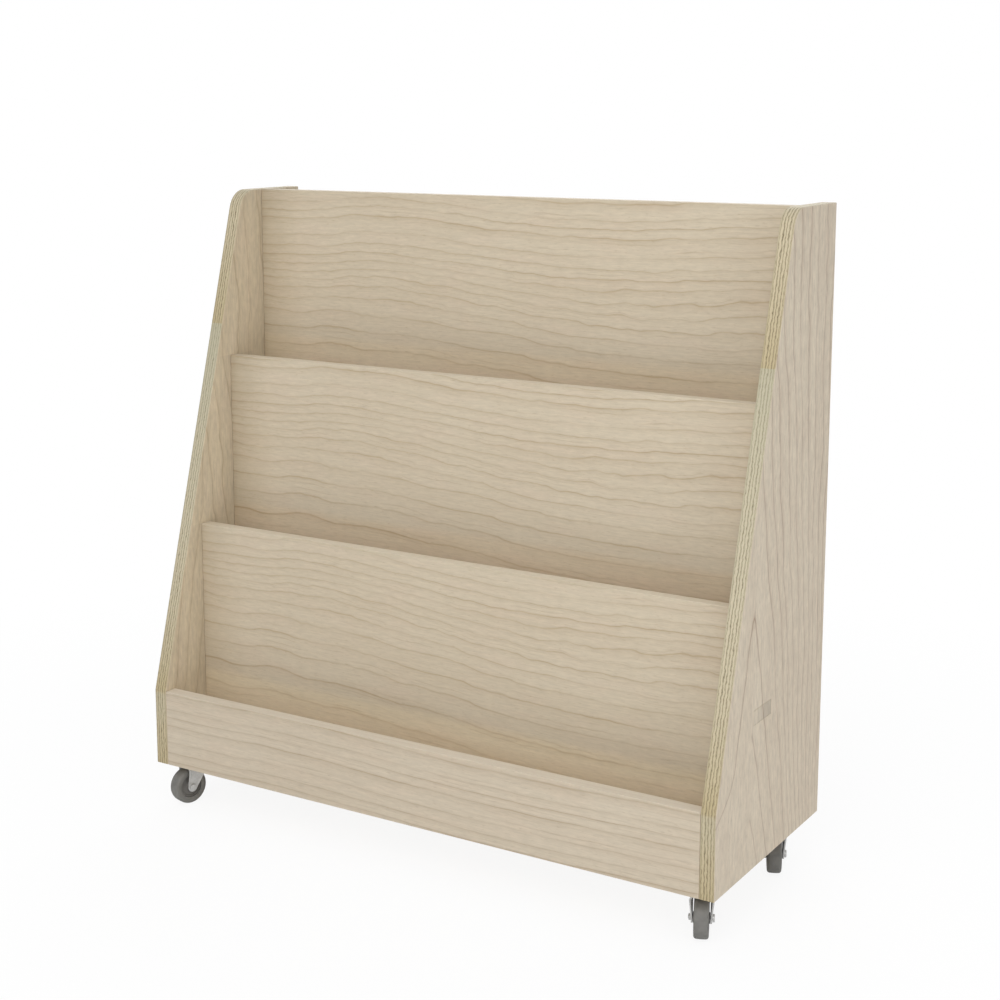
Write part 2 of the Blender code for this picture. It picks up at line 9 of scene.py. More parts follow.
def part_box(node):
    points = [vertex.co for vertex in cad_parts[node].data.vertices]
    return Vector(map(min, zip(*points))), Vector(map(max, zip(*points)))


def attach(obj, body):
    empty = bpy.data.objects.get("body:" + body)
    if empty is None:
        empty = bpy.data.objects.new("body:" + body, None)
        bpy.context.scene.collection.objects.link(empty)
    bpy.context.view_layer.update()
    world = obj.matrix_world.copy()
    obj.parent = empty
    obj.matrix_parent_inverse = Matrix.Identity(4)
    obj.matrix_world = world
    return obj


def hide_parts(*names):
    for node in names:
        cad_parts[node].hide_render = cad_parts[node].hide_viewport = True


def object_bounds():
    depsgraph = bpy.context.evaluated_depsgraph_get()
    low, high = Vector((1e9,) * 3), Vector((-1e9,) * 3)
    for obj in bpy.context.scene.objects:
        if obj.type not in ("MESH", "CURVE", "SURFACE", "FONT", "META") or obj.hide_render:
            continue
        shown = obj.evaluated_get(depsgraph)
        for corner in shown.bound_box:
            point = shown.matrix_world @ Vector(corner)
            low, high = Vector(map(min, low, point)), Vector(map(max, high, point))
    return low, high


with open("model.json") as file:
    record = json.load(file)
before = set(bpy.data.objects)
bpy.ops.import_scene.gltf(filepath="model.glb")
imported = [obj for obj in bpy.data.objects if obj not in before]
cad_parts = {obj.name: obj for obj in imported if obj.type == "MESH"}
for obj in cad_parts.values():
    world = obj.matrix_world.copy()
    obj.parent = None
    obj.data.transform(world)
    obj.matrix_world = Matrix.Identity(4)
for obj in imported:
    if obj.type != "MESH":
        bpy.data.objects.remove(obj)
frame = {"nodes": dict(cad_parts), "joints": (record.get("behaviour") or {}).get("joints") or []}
cad_low, cad_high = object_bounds()
nodes = frame["nodes"]

# Sides. Each is one shaped board of 18 mm plywood with a maple face on both sides, sawn to
# its outline, rounded at the knee and the top, and left bare on the edge under clear lacquer.
# The boards between them are fixed to their inner faces.


def srgb(red, green, blue):
    """Linear colour of three sRGB bytes."""
    shares = (red / 255, green / 255, blue / 255)
    linear = [c / 12.92 if c <= 0.04045 else ((c + 0.055) / 1.055) ** 2.4 for c in shares]
    return (*linear, 1.0)


def wire(tree, kind, *feeds, output=0, **settings):
    """Add a node, set or link its inputs in order, and return one of its outputs."""
    node = tree.nodes.new(kind)
    for key, value in settings.items():
        setattr(node, key, value)
    for socket, feed in zip(node.inputs, feeds):
        if isinstance(feed, bpy.types.NodeSocket):
            tree.links.new(feed, socket)
        elif feed is not None:
            socket.default_value = feed
    return node.outputs[output]


def sums(tree, operation, first, second=None, third=None):
    """A Math node."""
    return wire(tree, "ShaderNodeMath", first, second, third, operation=operation)


def scaled(tree, feed, factor):
    """A value times a factor."""
    return sums(tree, "MULTIPLY", feed, factor)


def spread(tree, feed, low, high, new_low, new_high):
    """Map a value from one range to another, clamped."""
    return wire(tree, "ShaderNodeMapRange", feed, low, high, new_low, new_high)


def vector(tree, x, y, z):
    """A vector from its parts."""
    return wire(tree, "ShaderNodeCombineXYZ", x, y, z)


def mixed(tree, share, first, second, blend_type="MIX"):
    """Mix two colours."""
    node = tree.nodes.new("ShaderNodeMix")
    node.data_type = "RGBA"
    node.blend_type = blend_type
    for key, feed in (("Factor_Float", share), ("A_Color", first), ("B_Color", second)):
        socket = next(s for s in node.inputs if s.identifier == key)
        if isinstance(feed, bpy.types.NodeSocket):
            tree.links.new(feed, socket)
        else:
            socket.default_value = feed
    return next(s for s in node.outputs if s.identifier == "Result_Color")


def shaded(tree, colour, level):
    """A colour times a grey level."""
    return mixed(tree, 1.0, colour, vector(tree, level, level, level), "MULTIPLY")


def ramp(tree, feed, stops):
    """Colour ramp through (place, colour) stops."""
    node = tree.nodes.new("ShaderNodeValToRGB")
    elements = node.color_ramp.elements
    while len(elements) < len(stops):
        elements.new(0.5)
    for element, (place, colour) in zip(elements, stops):
        element.position = place
        element.color = colour
    tree.links.new(feed, node.inputs[0])
    return node.outputs[0]


def grey(value):
    """Opaque grey of one level."""
    return (value, value, value, 1.0)


def levels(tree, feed, stops):
    """Grey ramp through (place, level) stops."""
    return ramp(tree, feed, [(place, grey(level)) for place, level in stops])


def curve(tree, feed, points):
    """Float curve through the given points, both axes from 0 to 1."""
    node = tree.nodes.new("ShaderNodeFloatCurve")
    line = node.mapping.curves[0]
    line.points[0].location = points[0]
    line.points[1].location = points[-1]
    for point in points[1:-1]:
        line.points.new(*point)
    node.mapping.update()
    tree.links.new(feed, node.inputs["Value"])
    return node.outputs[0]


def grain_noise(tree, along, across, along_rate, across_rate, layer, detail=2.0):
    """Noise drawn out along the grain, with both rates in cycles per metre."""
    place = vector(tree, scaled(tree, along, along_rate), scaled(tree, across, across_rate), layer)
    return wire(tree, "ShaderNodeTexNoise", place, None, 1.0, detail, 0.55)


BLUSH = srgb(206, 189, 169)
BLUSH_SHARE = 0.34
FLECK_SHARE = 0.3
TONE_SHARE = 0.15
LINE_SHARE = 0.9


def maple_face(tree, along, across, count, crispness, figure, light, dark):
    """Maple veneer: growth lines where count passes a half, fibres, flecks and slow tone.

    along and across are metres on the board, count is the growth lines crossed so far, and
    figure is the fibres per metre, how strongly they show, the weight of the faintest line and
    that of the hair lines between. Returns the colour and a height for the bump.
    """
    fibre_rate, fibre_dip, faintest, hair_weight = figure
    ring = sums(tree, "FLOOR", count)
    place = sums(tree, "FRACT", count)
    line = levels(tree, place, [
        (0.00, 0.0), (0.30, 0.04), (0.44, 0.34), (0.50, 1.0), (0.57, 0.52), (0.76, 0.30), (1.00, 0.0),
    ])
    line = sums(tree, "POWER", line, crispness)
    chance = wire(tree, "ShaderNodeTexWhiteNoise", None, ring, noise_dimensions="1D")
    weight = spread(tree, chance, 0.0, 1.0, faintest, 1.0)
    fading = grain_noise(tree, along, ring, 6.0, 3.7, 0.0)
    fading = spread(tree, fading, 0.34, 0.62, faintest * 0.7, 1.0)
    lines = sums(tree, "MULTIPLY", sums(tree, "MULTIPLY", line, weight), fading)
    between = sums(tree, "FRACT", sums(tree, "MULTIPLY_ADD", count, 2.7, 0.2))
    hair = levels(tree, between, [(0.0, 0.0), (0.38, 0.06), (0.5, 1.0), (0.62, 0.1), (1.0, 0.0)])
    hair_fading = grain_noise(tree, along, across, 9.0, 60.0, 5.0)
    hair_fading = spread(tree, hair_fading, 0.46, 0.68, 0.0, hair_weight)
    hair = sums(tree, "MULTIPLY", hair, hair_fading)
    fleck = grain_noise(tree, along, across, 120.0, 640.0, 3.0, 1.0)
    tone = grain_noise(tree, along, across, 2.4, 17.0, 9.0)
    blush = grain_noise(tree, along, across, 14.0, 46.0, 12.0)
    colour = mixed(tree, spread(tree, tone, 0.3, 0.7, 0.0, TONE_SHARE), light, dark)
    colour = mixed(tree, spread(tree, blush, 0.46, 0.7, 0.0, BLUSH_SHARE), colour, BLUSH)
    colour = mixed(tree, scaled(tree, sums(tree, "MAXIMUM", lines, hair), LINE_SHARE), colour, dark)
    colour = mixed(tree, spread(tree, fleck, 0.63, 0.75, 0.0, FLECK_SHARE), colour, dark)
    fibre = grain_noise(tree, along, across, 26.0, fibre_rate, 1.0, 3.0)
    mottle = grain_noise(tree, along, across, 70.0, fibre_rate * 0.4, 2.0, 3.0)
    for noise, dip in ((fibre, fibre_dip), (mottle, fibre_dip * 1.2)):
        colour = shaded(tree, colour, spread(tree, noise, 0.25, 0.75, 1.0 - dip, 1.0 + dip))
    height = sums(tree, "SUBTRACT", fibre, lines)
    return colour, height


def new_material(name, roughness, metallic=0.0, specular=0.5):
    """Principled material; returns it with its node tree and shader."""
    material = bpy.data.materials.new(name)
    material.use_nodes = True
    shader = material.node_tree.nodes["Principled BSDF"]
    shader.inputs["Roughness"].default_value = roughness
    shader.inputs["Metallic"].default_value = metallic
    shader.inputs["Specular IOR Level"].default_value = specular
    return material, material.node_tree, shader


def emboss(tree, shader, height, strength, depth):
    """Bump from a height that runs from 0 to 1."""
    bump = tree.nodes.new("ShaderNodeBump")
    bump.inputs["Strength"].default_value = strength
    bump.inputs["Distance"].default_value = depth
    tree.links.new(height, bump.inputs["Height"])
    tree.links.new(bump.outputs[0], shader.inputs["Normal"])


LACQUER_ROUGHNESS = 0.56
LACQUER_SPECULAR = 0.3
GRAIN_STRENGTH = 0.12
GRAIN_DEPTH = 0.0002


def lacquered(name):
    """Material of wood under clear lacquer."""
    return new_material(name, LACQUER_ROUGHNESS, specular=LACQUER_SPECULAR)


def show_wood(tree, shader, colour, height):
    """Set the wood's colour and the bump of its grain."""
    tree.links.new(colour, shader.inputs["Base Color"])
    emboss(tree, shader, height, GRAIN_STRENGTH, GRAIN_DEPTH)


def board_place(tree):
    """Place on the board in metres, and the direction that the surface faces."""
    where = tree.nodes.new("ShaderNodeTexCoord")
    place = wire(tree, "ShaderNodeSeparateXYZ", where.outputs["Object"]).node.outputs
    facing = wire(tree, "ShaderNodeSeparateXYZ", where.outputs["Normal"]).node.outputs
    return place, facing


def faces_along(tree, part):
    """1 on a face that looks along this axis, 0 on the edges beside it."""
    return spread(tree, sums(tree, "ABSOLUTE", part), 0.55, 0.75, 0.0, 1.0)


# The outer maple's light tone is raised above the inner's as painted light.
LIT_OUTER_LIGHT = srgb(221, 208, 187)
OUTER_DARK = srgb(157, 126, 103)
INNER_LIGHT = srgb(208, 195, 171)
INNER_DARK = srgb(176, 157, 129)
PLY_THICKNESS = 0.018
PLY_CREAM = srgb(207, 196, 170)
PLY_GOLD = srgb(190, 175, 140)
PLY_PALE = srgb(188, 182, 158)
GLUE_BROWN = srgb(98, 83, 54)
GLUE_GREY = srgb(108, 102, 82)
STRIP_JOINT_Z = 0.628
ARCH_Y = -0.0595
ARCH_ROUND = 0.003
FAN_TOP_Z = 0.6
FAN_DROP = 0.4
FAN_DRIFT = 0.078
FAN_SQUEEZE = 0.4
PLAIN_LEAF = -0.085
INNER_LEAF_SHIFT = 0.3
SIDE_LINES = (
    -0.24, -0.175, -0.115, -0.060, 0.0, 0.031, 0.052, 0.077,
    0.101, 0.123, 0.146, 0.165, 0.187, 0.205, 0.23,
)
SIDE_FIGURE = (560.0, 0.095, 0.8, 0.15)


def side_grain(tree, y, z, light, dark):
    """Upright flat-sawn maple: a tall arch near the front and lines that drift back as they fall."""
    bend = spread(tree, grain_noise(tree, z, y, 5.5, 9.0, 3.0, 1.5), 0.2, 0.8, -0.012, 0.012)
    wobble = spread(tree, grain_noise(tree, z, y, 24.0, 30.0, 7.0), 0.2, 0.8, -0.003, 0.003)
    from_axis = sums(tree, "SUBTRACT", y, ARCH_Y)
    rounded = sums(tree, "SQRT", sums(tree, "MULTIPLY_ADD", from_axis, from_axis, ARCH_ROUND ** 2))
    opening = spread(tree, z, 0.12, 0.19, 0.45, 1.0)
    opening = sums(tree, "MAXIMUM", opening, sums(tree, "GREATER_THAN", from_axis, 0.0))
    fall = scaled(tree, sums(tree, "SUBTRACT", FAN_TOP_Z, z), 1 / FAN_DROP)
    drifted = sums(tree, "MULTIPLY_ADD", fall, -FAN_DRIFT, sums(tree, "MULTIPLY", rounded, opening))
    squeeze = sums(tree, "MULTIPLY_ADD", fall, -FAN_SQUEEZE, 1.0)
    leaf = sums(tree, "DIVIDE", drifted, squeeze)
    bend = sums(tree, "MULTIPLY", bend, spread(tree, leaf, -0.06, 0.01, 0.35, 1.0))
    leaf = sums(tree, "ADD", leaf, sums(tree, "ADD", bend, wobble))
    plain = sums(tree, "SUBTRACT", PLAIN_LEAF, sums(tree, "GREATER_THAN", from_axis, 0.0))
    leaf = sums(tree, "MAXIMUM", leaf, plain)
    first = SIDE_LINES[0]
    reach = SIDE_LINES[-1] - first
    last = len(SIDE_LINES) - 1
    step = scaled(tree, sums(tree, "SUBTRACT", leaf, first), 1 / reach)
    count = curve(tree, step, [
        ((line - first) / reach, number / last) for number, line in enumerate(SIDE_LINES)
    ])
    count = sums(tree, "MULTIPLY_ADD", count, last, 0.5)
    crispness = spread(tree, leaf, -0.04, 0.01, 4.0, 2.4)
    return maple_face(tree, z, y, count, crispness, SIDE_FIGURE, light, dark)


def ply_edge(tree, depth, run, z):
    """Bare plywood edge: pale plies and broken glue lines over the depth, which goes from 0 to 1.

    The plies turn golden under the strip's joint and the knee, and pale below them.
    """
    rise = sums(tree, "DIVIDE", z, cad_high.z)
    strip = sums(tree, "LESS_THAN", z, STRIP_JOINT_Z)
    gold = levels(tree, rise, [
        (0.07, 0.95), (0.14, 0.55), (0.190, 0.40), (0.196, 1.0), (0.205, 1.0), (0.24, 0.65),
        (0.32, 0.25), (0.45, 0.0), (0.76, 0.0), (0.785, 0.95), (0.86, 0.55), (0.95, 0.25),
    ])
    pale = levels(tree, rise, [
        (0.13, 0.0), (0.16, 0.30), (0.190, 0.35), (0.196, 0.0), (0.30, 0.10),
        (0.45, 0.25), (0.62, 0.55), (0.74, 0.95), (0.783, 1.0),
    ])
    pale = sums(tree, "MULTIPLY", pale, strip)
    ragged = grain_noise(tree, run, depth, 110.0, 4.0, 0.0)
    layer = sums(tree, "ADD", depth, spread(tree, ragged, 0.3, 0.7, -0.045, 0.045))
    glue = levels(tree, layer, [
        (0.00, 0.30), (0.08, 0.25), (0.12, 0.85), (0.16, 0.15), (0.21, 0.0), (0.27, 0.1), (0.31, 1.0),
        (0.34, 0.8), (0.39, 0.0), (0.46, 0.05), (0.51, 0.95), (0.57, 0.1), (0.66, 0.0), (0.71, 1.0),
        (0.74, 0.7), (0.79, 0.0), (0.86, 0.1), (0.90, 0.75), (0.95, 0.3), (1.00, 0.35),
    ])
    broken = spread(tree, grain_noise(tree, run, layer, 170.0, 26.0, 4.0), 0.36, 0.6, 0.5, 1.0)
    glue = sums(tree, "MULTIPLY", glue, broken)
    glue = sums(tree, "MULTIPLY", glue, spread(tree, pale, 0.0, 1.0, 0.92, 0.68))
    plies = mixed(tree, gold, PLY_CREAM, PLY_GOLD)
    plies = mixed(tree, scaled(tree, pale, 0.85), plies, PLY_PALE)
    speck = spread(tree, grain_noise(tree, run, layer, 340.0, 20.0, 3.0), 0.58, 0.72, 0.0, 0.3)
    line_colour = mixed(tree, pale, GLUE_BROWN, GLUE_GREY)
    return mixed(tree, sums(tree, "MAXIMUM", glue, speck), plies, line_colour)


POCKET_SHADE_REACH = 0.05


def painted_pocket_shade(tree, y, z):
    """Painted shade and light on a side's inner face: a little darker just in front of the corner
    with the panel at that height, lighter towards the front.
    """
    low, middle, high = (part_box(step + "_display_panel") for step in ("lower", "middle", "upper"))
    above_low = sums(tree, "GREATER_THAN", z, low[1].z)
    above_middle = sums(tree, "GREATER_THAN", z, middle[1].z)
    panel_y = sums(tree, "MULTIPLY_ADD", above_low, middle[0].y - low[0].y, low[0].y)
    panel_y = sums(tree, "MULTIPLY_ADD", above_middle, high[0].y - middle[0].y, panel_y)
    run = scaled(tree, sums(tree, "SUBTRACT", panel_y, y), 1 / POCKET_SHADE_REACH)
    # Painted shade just in front of the corner with the panel, painted light further forward.
    return levels(tree, run, [(0.0, 1.0), (0.02, 0.96), (0.3, 1.0), (0.6, 1.07), (1.0, 1.06)])


def side_finish():
    """Maple outside and inside, the outside's light tone raised above the inside's as painted light,
    with the bare plywood on the edges.
    """
    material, tree, shader = lacquered("side_plywood")
    (x, y, z), facing = board_place(tree)
    outer, height = side_grain(tree, y, z, LIT_OUTER_LIGHT, OUTER_DARK)
    inner, _ = side_grain(tree, y, sums(tree, "ADD", z, INNER_LEAF_SHIFT), INNER_LIGHT, INNER_DARK)
    # Painted shade and light on the inner face by the panels.
    inner = mixed(tree, 1.0, inner, painted_pocket_shade(tree, y, z), "MULTIPLY")
    outward = sums(tree, "GREATER_THAN", sums(tree, "MULTIPLY", x, facing[0]), 0.0)
    face = mixed(tree, outward, inner, outer)
    depth = sums(tree, "SUBTRACT", sums(tree, "ABSOLUTE", x), cad_high.x - PLY_THICKNESS)
    edge = ply_edge(tree, sums(tree, "DIVIDE", depth, PLY_THICKNESS), sums(tree, "ADD", y, z), z)
    colour = mixed(tree, faces_along(tree, facing[0]), edge, face)
    show_wood(tree, shader, colour, height)
    return material


def dress(name, material):
    """Give a carried-over solid its finish."""
    node = nodes[name]
    node.data.materials.clear()
    node.data.materials.append(material)


side_material = side_finish()
for side in ("left_side_panel", "right_side_panel"):
    dress(side, side_material)

# Lip, base and shelves. They are straight boards of the same plywood with the grain running
# across the case and a thin maple strip glued over the edges that show. The lip closes the
# front pocket, and the lower shelf comes through both sides as a flush tenon.

LIP_LIGHT = srgb(205, 193, 174)
LIP_DARK = srgb(166, 146, 121)
LIP_LEAF_START = 0.012
LIP_SWELL = 0.4
SHELF_LIGHT = srgb(224, 205, 171)
SHELF_DARK = srgb(184, 163, 128)
LEAF_HEIGHT = 0.4
LEAF_LINES = 20.0
SWELL_REACH = 0.040
BOARD_FIGURE = (850.0, 0.055, 0.6, 0.5)
# Painted light on the boards' edges.
EDGE_PAINTED_LIGHT = (1.10, 1.12, 1.16, 1.0)
# The three values below shape the painted light and shade at a display panel's foot and the painted
# shade by the left side.
FOOT_REACH = 0.05
FOOT_PAINTED_LIGHT = (1.065, 1.085, 1.09, 1.0)
CORNER_SHADE_REACH = 0.07


def leaf_grain(tree, along, across, swell_share, light, dark):
    """One leaf of flat-sawn maple: its swells, then lines close together in its middle."""
    run = sums(tree, "DIVIDE", along, cad_high.x - cad_low.x)
    upper_swell = curve(tree, run, [
        (0.0, 0.50), (0.13, 0.45), (0.26, 0.28), (0.33, 0.33), (0.43, 0.50),
        (0.55, 0.68), (0.65, 0.74), (0.74, 0.72), (0.84, 0.60), (1.0, 0.43),
    ])
    lower_swell = curve(tree, run, [
        (0.0, 0.14), (0.05, 0.27), (0.10, 0.30), (0.17, 0.17), (0.24, 0.28), (0.33, 0.29),
        (0.41, 0.45), (0.51, 0.56), (0.58, 0.76), (0.72, 0.90), (0.81, 0.92), (1.0, 0.78),
    ])
    upper_swell = scaled(tree, sums(tree, "SUBTRACT", upper_swell, 0.5), SWELL_REACH)
    lower_swell = scaled(tree, sums(tree, "SUBTRACT", lower_swell, 0.14), SWELL_REACH)
    depth = spread(tree, across, 0.125, 0.185, 0.0, 1.0)
    difference = sums(tree, "SUBTRACT", lower_swell, upper_swell)
    swell = scaled(tree, sums(tree, "MULTIPLY_ADD", difference, depth, upper_swell), swell_share)
    wobble = spread(tree, grain_noise(tree, along, across, 20.0, 34.0, 2.0), 0.2, 0.8, -0.003, 0.003)
    wobble = scaled(tree, wobble, swell_share)
    level = sums(tree, "ADD", sums(tree, "SUBTRACT", across, swell), wobble)
    count = scaled(tree, curve(tree, sums(tree, "DIVIDE", level, LEAF_HEIGHT), [
        (0.0, 0.0), (0.085, 0.070), (0.14, 0.170), (0.20, 0.225), (0.295, 0.375),
        (0.40, 0.575), (0.495, 0.675), (0.62, 0.775), (1.0, 0.98),
    ]), LEAF_LINES)
    crispness = spread(tree, across, 0.15, 0.28, 1.35, 2.4)
    return maple_face(tree, along, across, count, crispness, BOARD_FIGURE, light, dark)


def board_colour(tree, leaf_left, leaf_top, swell_share, light, dark, upright):
    """Maple along X on the broad faces and a plain strip of it on the edges, made lighter and cooler
    there as painted light.
    """
    (x, y, z), facing = board_place(tree)
    along = sums(tree, "ADD", x, leaf_left)
    across = sums(tree, "SUBTRACT", leaf_top, z if upright else y)
    face, height = leaf_grain(tree, along, across, swell_share, light, dark)
    edge_place = vector(tree, scaled(tree, x, 9.0), scaled(tree, y, 260.0), scaled(tree, z, 260.0))
    streak = wire(tree, "ShaderNodeTexNoise", edge_place, None, 1.0, 3.0, 0.6)
    edge = mixed(tree, spread(tree, streak, 0.3, 0.7, 0.0, 0.22), light, dark)
    # Painted light: the edges are lighter and cooler than the strip's own colour.
    edge = mixed(tree, 1.0, edge, EDGE_PAINTED_LIGHT, "MULTIPLY")
    broad = faces_along(tree, facing[1] if upright else facing[2])
    return mixed(tree, broad, edge, face), height, (x, y, z), facing


def painted_pocket_and_corner_shade(tree, x, z, foot_z, foot_light_and_shade, corner_shade_share):
    """Painted shade on a panel: darker by the left side, with painted light and shade where it goes
    into its pocket.
    """
    lifted = tuple(part * lift for part, lift in zip(foot_light_and_shade, FOOT_PAINTED_LIGHT))
    # Painted light and shade where the panel goes into its pocket.
    rise = scaled(tree, sums(tree, "SUBTRACT", z, foot_z), 1 / FOOT_REACH)
    foot = ramp(tree, rise, [
        (0.2, foot_light_and_shade), (0.36, lifted), (0.62, lifted), (0.82, grey(1.01)), (1.0, grey(1.0)),
    ])
    # Painted shade, darkest in the corner by the left side.
    run = scaled(tree, sums(tree, "SUBTRACT", x, cad_low.x + PLY_THICKNESS), 1 / CORNER_SHADE_REACH)
    corner = ramp(tree, run, [
        (0.0, (0.71, 0.685, 0.65, 1.0)),
        (0.15, (0.775, 0.765, 0.735, 1.0)),
        (0.3, (0.83, 0.82, 0.8, 1.0)),
        (0.51, (0.9, 0.893, 0.875, 1.0)),
        (0.86, (0.98, 0.975, 0.97, 1.0)),
        (1.0, grey(1.0)),
    ])
    corner = mixed(tree, corner_shade_share, grey(1.0), corner)
    return mixed(tree, 1.0, foot, corner, "MULTIPLY")


def upright_finish(name, leaf_left, leaf_top, swell_share, light, dark, foot=None):
    """Upright board, cut from the part of the leaf that leaf_left and leaf_top say.

    foot is the height where the board goes into its pocket, the painted light and shade there, and
    how much of the painted shade in the left corner it has.
    """
    material, tree, shader = lacquered(name)
    colour, height, (x, _, z), _ = board_colour(
        tree, leaf_left, leaf_top, swell_share, light, dark, True
    )
    # Painted light and shade at the pocket and painted shade in the left corner.
    if foot:
        colour = mixed(tree, 1.0, colour, painted_pocket_and_corner_shade(tree, x, z, *foot), "MULTIPLY")
    show_wood(tree, shader, colour, height)
    return material


TENON_FRONT_Y = -0.054
TENON_BACK_Y = -0.003


def level_finish(name, leaf_left, leaf_top):
    """Level board. Tenon ends, sanded flush with the sides, show the side's maple with painted shade
    that deepens towards the back.
    """
    material, tree, shader = lacquered(name)
    colour, height, (_, y, z), facing = board_colour(
        tree, leaf_left, leaf_top, 1.0, SHELF_LIGHT, SHELF_DARK, False
    )
    tenon, _ = side_grain(tree, y, z, LIT_OUTER_LIGHT, OUTER_DARK)
    # Painted shade on the tenon ends, deepening towards the back.
    tenon = shaded(tree, tenon, spread(tree, y, TENON_FRONT_Y, TENON_BACK_Y, 0.96, 0.74))
    colour = mixed(tree, faces_along(tree, facing[0]), colour, tenon)
    show_wood(tree, shader, colour, height)
    return material


half_width = cad_high.x
lip_leaf_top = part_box("front_lip")[1].z + LIP_LEAF_START
lip_finish = upright_finish("lip_maple", half_width, lip_leaf_top, LIP_SWELL, LIP_LIGHT, LIP_DARK)
dress("front_lip", lip_finish)
for shelf, leaf_top in (("base_panel", 0.36), ("lower_shelf", 0.30), ("upper_shelf", 0.24)):
    dress(shelf, level_finish(shelf + "_maple", half_width, leaf_top))

# Display panels. Three 15 mm boards of the same maple, cut one after the other from one leaf,
# so the figure repeats from panel to panel. They stand in grooves of the boards below, and
# their top edges are eased and sealed.

BOARD_LIGHT = srgb(206, 194, 173)
BOARD_DARK = srgb(170, 148, 117)
# Each panel: its name, where its leaf starts, the board in front, how far below that board's top its
# foot starts, the painted light and shade at its foot, and the share of painted corner shade.
PANELS = (
    ("lower_display_panel", 0.07, "front_lip", 0.025, (1.11, 1.085, 1.045, 1.0), 0.6),
    ("middle_display_panel", 0.045, "lower_display_panel", 0.019, (1.02, 0.97, 0.93, 1.0), 0.95),
    ("upper_display_panel", 0.02, "middle_display_panel", 0.015, (1.04, 1.0, 0.96, 1.0), 0.92),
)

for panel, start, board_in_front, foot_depth, foot_light_and_shade, corner_shade_share in PANELS:
    panel_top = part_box(panel)[1].z
    foot = (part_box(board_in_front)[1].z - foot_depth, foot_light_and_shade, corner_shade_share)
    finish = upright_finish(
        panel + "_maple", half_width, panel_top + start, 1.0, BOARD_LIGHT, BOARD_DARK, foot
    )
    dress(panel, finish)

# Caster plates. Each is stamped from zinc-plated sheet steel with the swivel cup pressed down
# in its middle. A king pin is riveted through the cup and the balls run round it.

CORNERS = ("front_left", "front_right", "rear_left", "rear_right")


def metal_finish(name, light, dark, roughness, metallic, patch_rate):
    """Plated or turned steel, cloudy in colour and in gloss."""
    material, tree, shader = new_material(name, roughness, metallic=metallic)
    where = tree.nodes.new("ShaderNodeTexCoord").outputs["Object"]
    cloud = wire(tree, "ShaderNodeTexNoise", where, None, patch_rate, 3.0, 0.6)
    grain = wire(tree, "ShaderNodeTexNoise", where, None, 1500.0, 2.0, 0.5)
    colour = mixed(tree, spread(tree, cloud, 0.35, 0.65, 0.0, 1.0), dark, light)
    tree.links.new(colour, shader.inputs["Base Color"])
    gloss = spread(tree, cloud, 0.3, 0.7, roughness - 0.07, roughness + 0.07)
    tree.links.new(gloss, shader.inputs["Roughness"])
    emboss(tree, shader, grain, 0.08, 0.00005)
    return material


zinc = metal_finish("zinc_plate", srgb(208, 208, 207), srgb(192, 192, 191), 0.5, 0.35, 160.0)
steel = metal_finish("bright_steel", srgb(196, 196, 195), srgb(178, 178, 177), 0.42, 0.5, 420.0)
for corner in CORNERS:
    dress(corner + "_caster_plate", zinc)
    dress(corner + "_king_pin", steel)
    dress(corner + "_ball_ring", steel)

# Plate screws. Four pan-head wood screws with a cross recess go up through each plate into
# the base board.


def smoothed(mesh, angle=35.0):
    """Smooth shading that keeps edges sharper than the angle."""
    mesh.shade_smooth()
    mesh.set_sharp_from_angle(angle=math.radians(angle))
    return mesh


def revolved(name, profile, steps, closed=False):
    """Turn a (radius, height) profile about Z; a closed one is a ring with no ends."""
    bm = bmesh.new()
    rings = []
    for radius, height in profile:
        count = 1 if radius == 0 else steps
        turns = [math.tau * k / steps for k in range(count)]
        rings.append([
            bm.verts.new((radius * math.cos(t), radius * math.sin(t), height)) for t in turns
        ])
    pairs = list(zip(rings, rings[1:]))
    if closed:
        pairs.append((rings[-1], rings[0]))
    for low, high in pairs:
        for k in range(steps):
            corners = [low[k % len(low)], low[(k + 1) % len(low)]]
            corners += [high[(k + 1) % len(high)], high[k % len(high)]]
            bm.faces.new(dict.fromkeys(corners))
    bmesh.ops.recalc_face_normals(bm, faces=bm.faces)
    mesh = bpy.data.meshes.new(name)
    bm.to_mesh(mesh)
    bm.free()
    return smoothed(mesh)


def round_corner(centre, radius, start, end, steps):
    """Points of an arc, with the angles in degrees."""
    turns = [math.radians(start + (end - start) * k / steps) for k in range(steps + 1)]
    return [(centre[0] + radius * math.cos(t), centre[1] + radius * math.sin(t)) for t in turns]


def place_piece(name, mesh, material, matrix, body, node):
    """Put a finer piece where its solid is."""
    if not mesh.materials:
        mesh.materials.append(material)
    piece = bpy.data.objects.new(name, mesh)
    bpy.context.scene.collection.objects.link(piece)
    piece.matrix_world = matrix
    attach(piece, body)
    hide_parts(node)
    return piece


SCREW_HEAD_RADIUS = 0.0036
SCREW_HEAD_HEIGHT = 0.002
SCREW_HEAD_CROWN = 0.0005
SCREW_HEAD_ROUND = 0.001
SCREW_SHANK_RADIUS = 0.0019
SCREW_POINT = 0.004
RECESS_REACH = 0.0020
RECESS_WIDTH = 0.0008
RECESS_DEPTH = 0.0009


